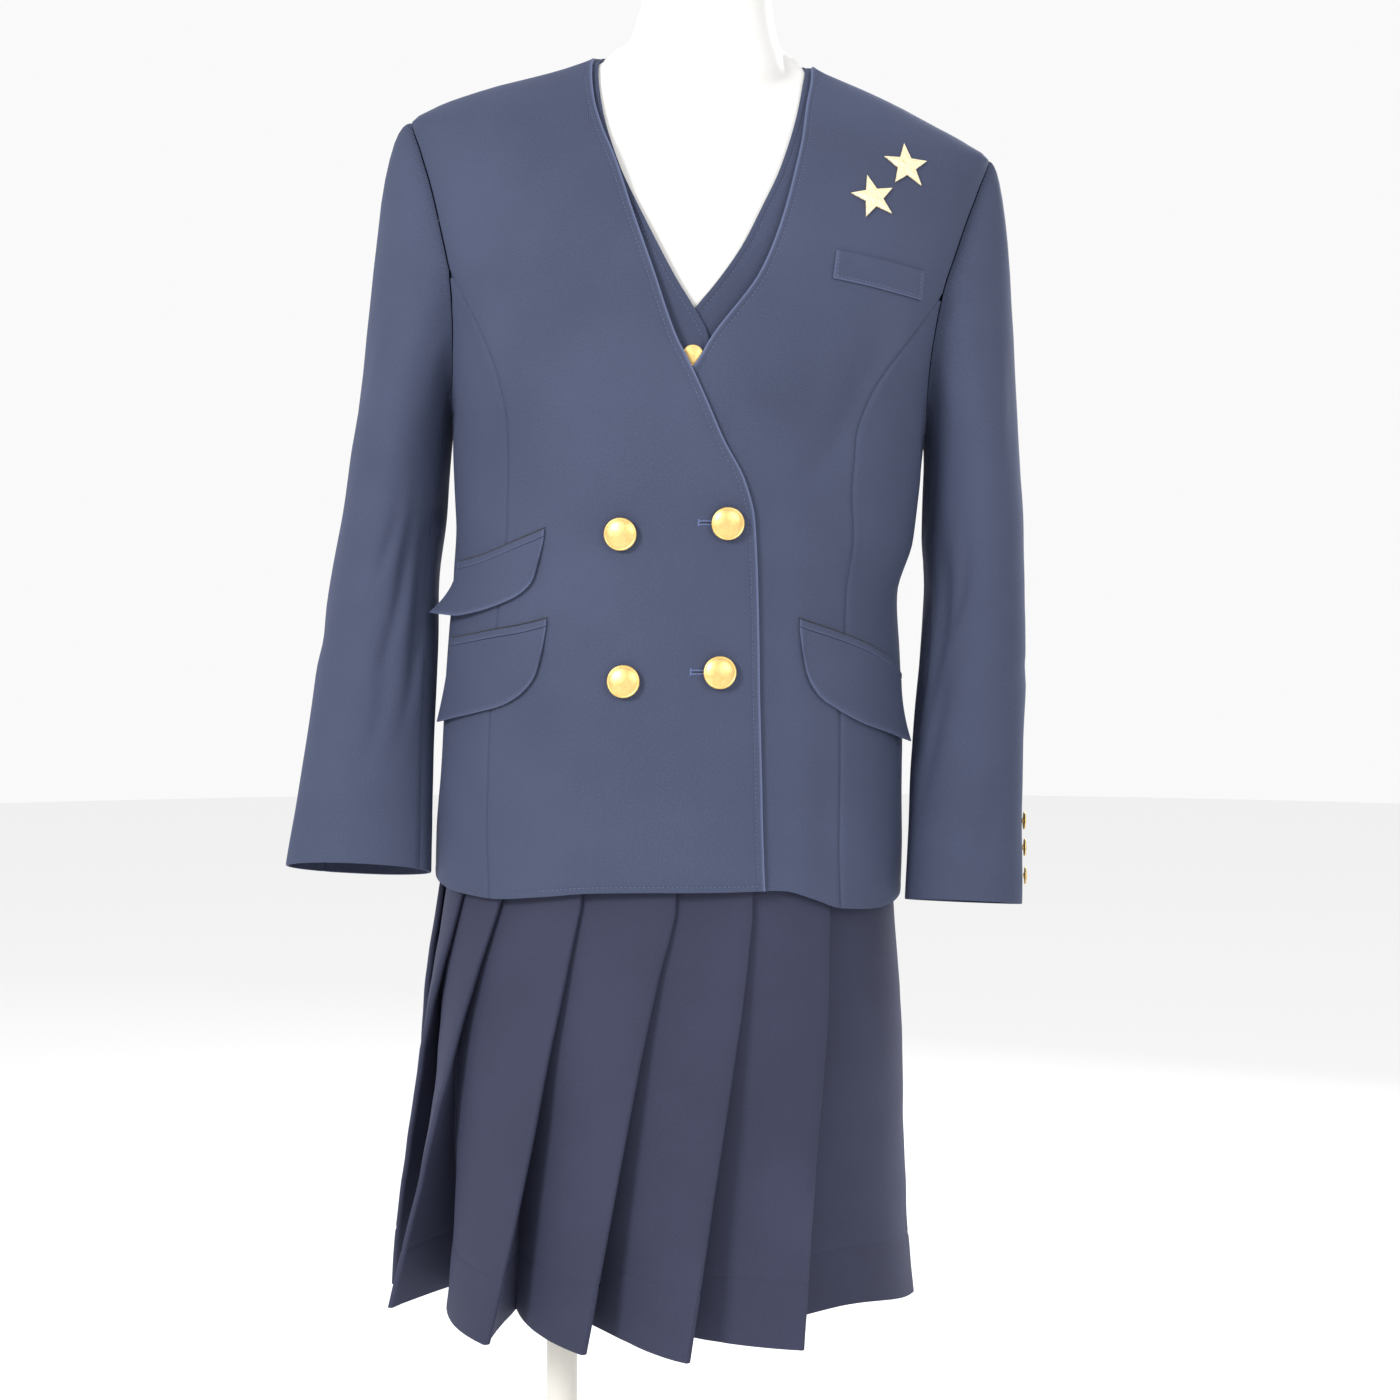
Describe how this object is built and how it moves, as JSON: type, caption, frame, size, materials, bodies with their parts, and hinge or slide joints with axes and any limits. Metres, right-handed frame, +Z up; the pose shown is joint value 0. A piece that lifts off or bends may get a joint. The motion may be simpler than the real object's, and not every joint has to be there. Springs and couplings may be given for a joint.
{
  "type": "school uniform on a limbless dress form",
  "caption": "Navy school uniform, a collarless double-breasted blazer, V-neck vest and pleated skirt, worn by a limbless dress form on a pole and base.",
  "frame": {"origin": "centre of the round base plate's underside, on the floor", "axes": "+X to the wearer's left, +Y to the wearer's back, +Z up"},
  "size_m": [0.5342, 0.3717, 1.4965],
  "materials": {
    "blazer_cloth": "matt navy wool twill",
    "vest_cloth": "matt navy wool twill",
    "skirt_cloth": "matt dark navy wool twill",
    "button_metal": "matt gold plating",
    "star_cloth": "crinkled metallic cloth",
    "form_shell": "satin white shell",
    "neck_cap_wood": "pale lacquered wood",
    "stand_enamel": "cream enamel"
  },
  "bodies": {
    "root": {"blazer_back_left": "blazer_cloth", "blazer_back_right": "blazer_cloth", "blazer_front_left": "blazer_cloth", "blazer_front_right": "blazer_cloth", "blazer_side_left": "blazer_cloth", "blazer_side_right": "blazer_cloth", "breast_welt": "blazer_cloth", "button_lower_left": "button_metal", "button_lower_right": "button_metal", "button_upper_left": "button_metal", "button_upper_right": "button_metal", "cuff_button_left_1": "button_metal", "cuff_button_left_2": "button_metal", "cuff_button_left_3": "button_metal", "cuff_button_right_1": "button_metal", "cuff_button_right_2": "button_metal", "cuff_button_right_3": "button_metal", "flap_left": "blazer_cloth", "flap_right": "blazer_cloth", "flap_ticket": "blazer_cloth", "form_socket": "stand_enamel", "form_torso": "form_shell", "jet_left": "blazer_cloth", "jet_right": "blazer_cloth", "jet_ticket": "blazer_cloth", "neck_cap": "neck_cap_wood", "skirt_pleated": "skirt_cloth", "skirt_waistband": "skirt_cloth", "sleeve_top_left": "blazer_cloth", "sleeve_top_right": "blazer_cloth", "sleeve_under_left": "blazer_cloth", "sleeve_under_right": "blazer_cloth", "stand_base": "stand_enamel", "stand_boss": "stand_enamel", "stand_pole": "stand_enamel", "star_lower": "star_cloth", "star_upper": "star_cloth", "vest_back": "vest_cloth", "vest_button_1": "button_metal", "vest_button_2": "button_metal", "vest_button_3": "button_metal", "vest_button_4": "button_metal", "vest_front_left": "vest_cloth", "vest_front_right": "vest_cloth"}
  },
  "joints": []
}
